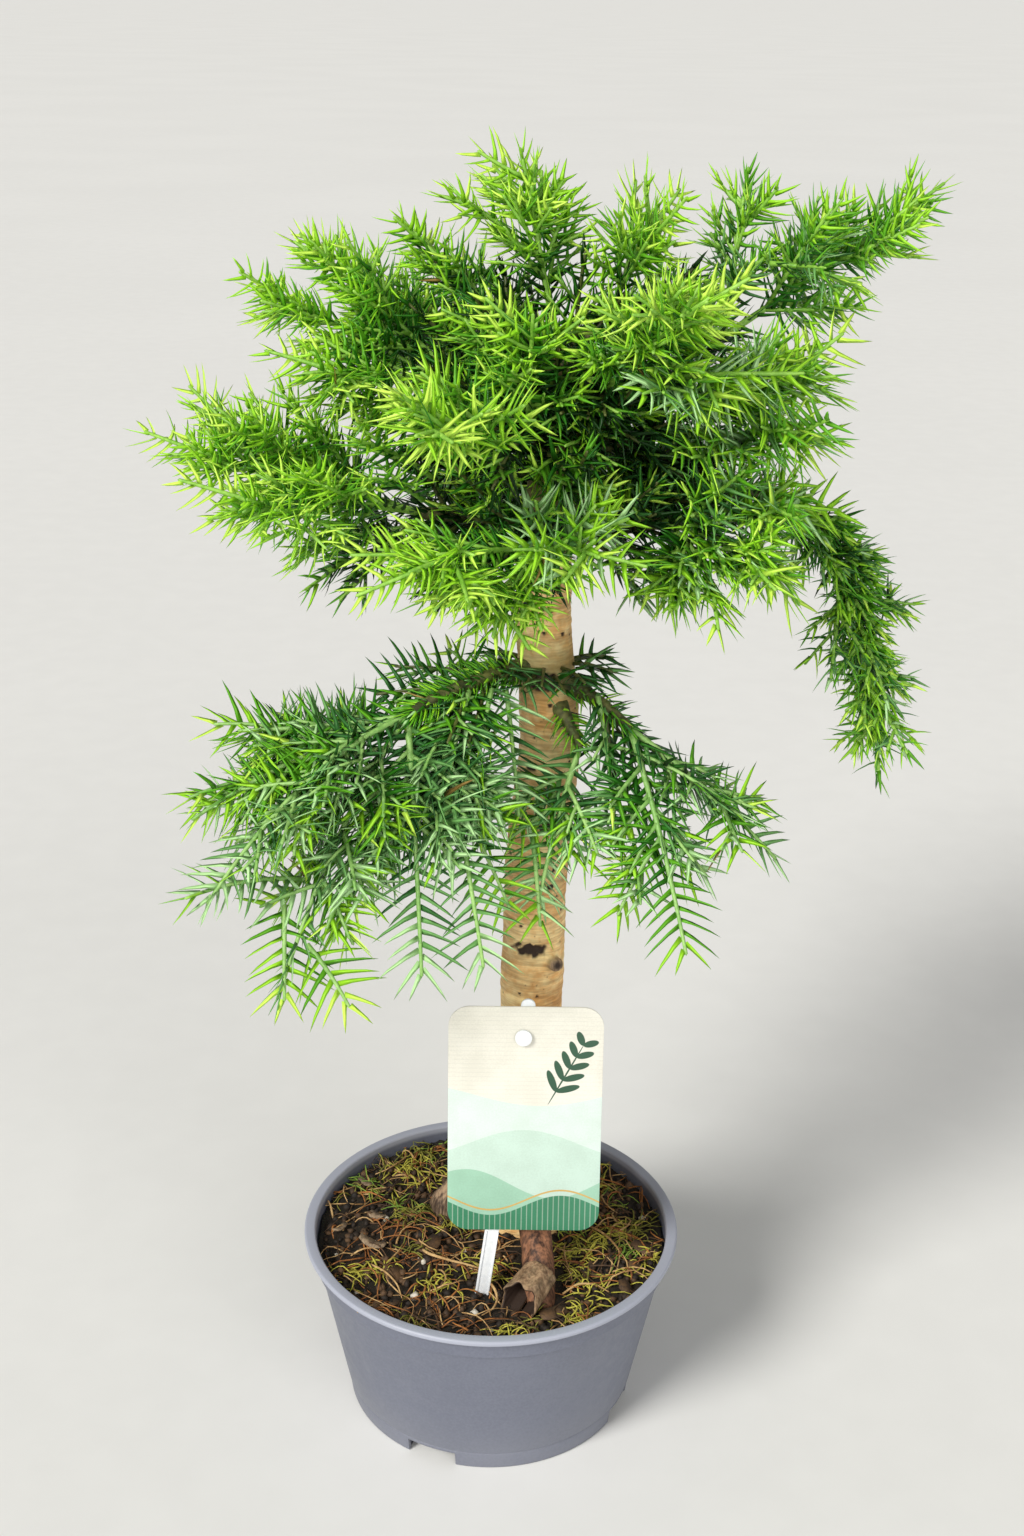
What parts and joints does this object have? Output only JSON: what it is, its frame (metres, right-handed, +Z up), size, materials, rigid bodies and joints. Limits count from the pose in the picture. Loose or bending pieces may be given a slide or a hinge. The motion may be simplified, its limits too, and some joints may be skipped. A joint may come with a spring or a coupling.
{
  "type": "potted bonsai tree",
  "caption": "Potted hoop pine bonsai with a bare lower trunk, drooping boughs of flat needles and a plain plant label, standing on the flat underside of its nursery pot.",
  "frame": {"origin": "centre of the pot's flat underside, on the ground", "axes": "+Z up along the pot's axis, -Y towards the viewer of the picture, +X to the viewer's right"},
  "size_m": [0.2933, 0.229, 0.4907],
  "materials": {
    "pot_plastic": "satin",
    "potting_soil": "matte",
    "bark": "matte",
    "limb": "matte",
    "foliage": "satin",
    "card": "satin",
    "stake_plastic": "satin"
  },
  "bodies": {
    "root": {"bough_back_left": "limb", "bough_back_low": "limb", "bough_back_right": "limb", "bough_front_left": "limb", "bough_front_low": "limb", "bough_front_right": "limb", "bough_left": "limb", "bough_left_back": "limb", "bough_low_front": "limb", "bough_low_left": "limb", "bough_low_right": "limb", "bough_right": "limb", "bough_right_back": "limb", "bough_right_far": "limb", "bough_right_low": "limb", "bough_top_left": "limb", "bough_top_right": "limb", "bough_upper_left": "limb", "label_card": "card", "label_stake": "stake_plastic", "pot": "pot_plastic", "soil": "potting_soil", "spray_back_left": "foliage", "spray_back_low_left": "foliage", "spray_back_low_right": "foliage", "spray_back_right": "foliage", "spray_front_left": "foliage", "spray_front_low": "foliage", "spray_front_low_left": "foliage", "spray_front_low_right": "foliage", "spray_front_right": "foliage", "spray_front_right_low": "foliage", "spray_front_top": "foliage", "spray_left": "foliage", "spray_left_back": "foliage", "spray_left_fore": "foliage", "spray_low_front": "foliage", "spray_low_left_arm": "foliage", "spray_low_left_drop": "foliage", "spray_low_left_hang": "foliage", "spray_low_left_inner": "foliage", "spray_low_left_outer": "foliage", "spray_low_left_skirt": "foliage", "spray_low_right_inner": "foliage", "spray_low_right_outer": "foliage", "spray_right": "foliage", "spray_right_far": "foliage", "spray_right_hang": "foliage", "spray_right_low": "foliage", "spray_right_mid": "foliage", "spray_right_skirt": "foliage", "spray_right_tail": "foliage", "spray_right_upright": "foliage", "spray_top": "foliage", "spray_top_left": "foliage", "spray_top_right": "foliage", "spray_upper_left": "foliage", "spray_upper_left_crest": "foliage", "spray_upper_left_fore": "foliage", "trunk": "bark"}
  },
  "joints": []
}
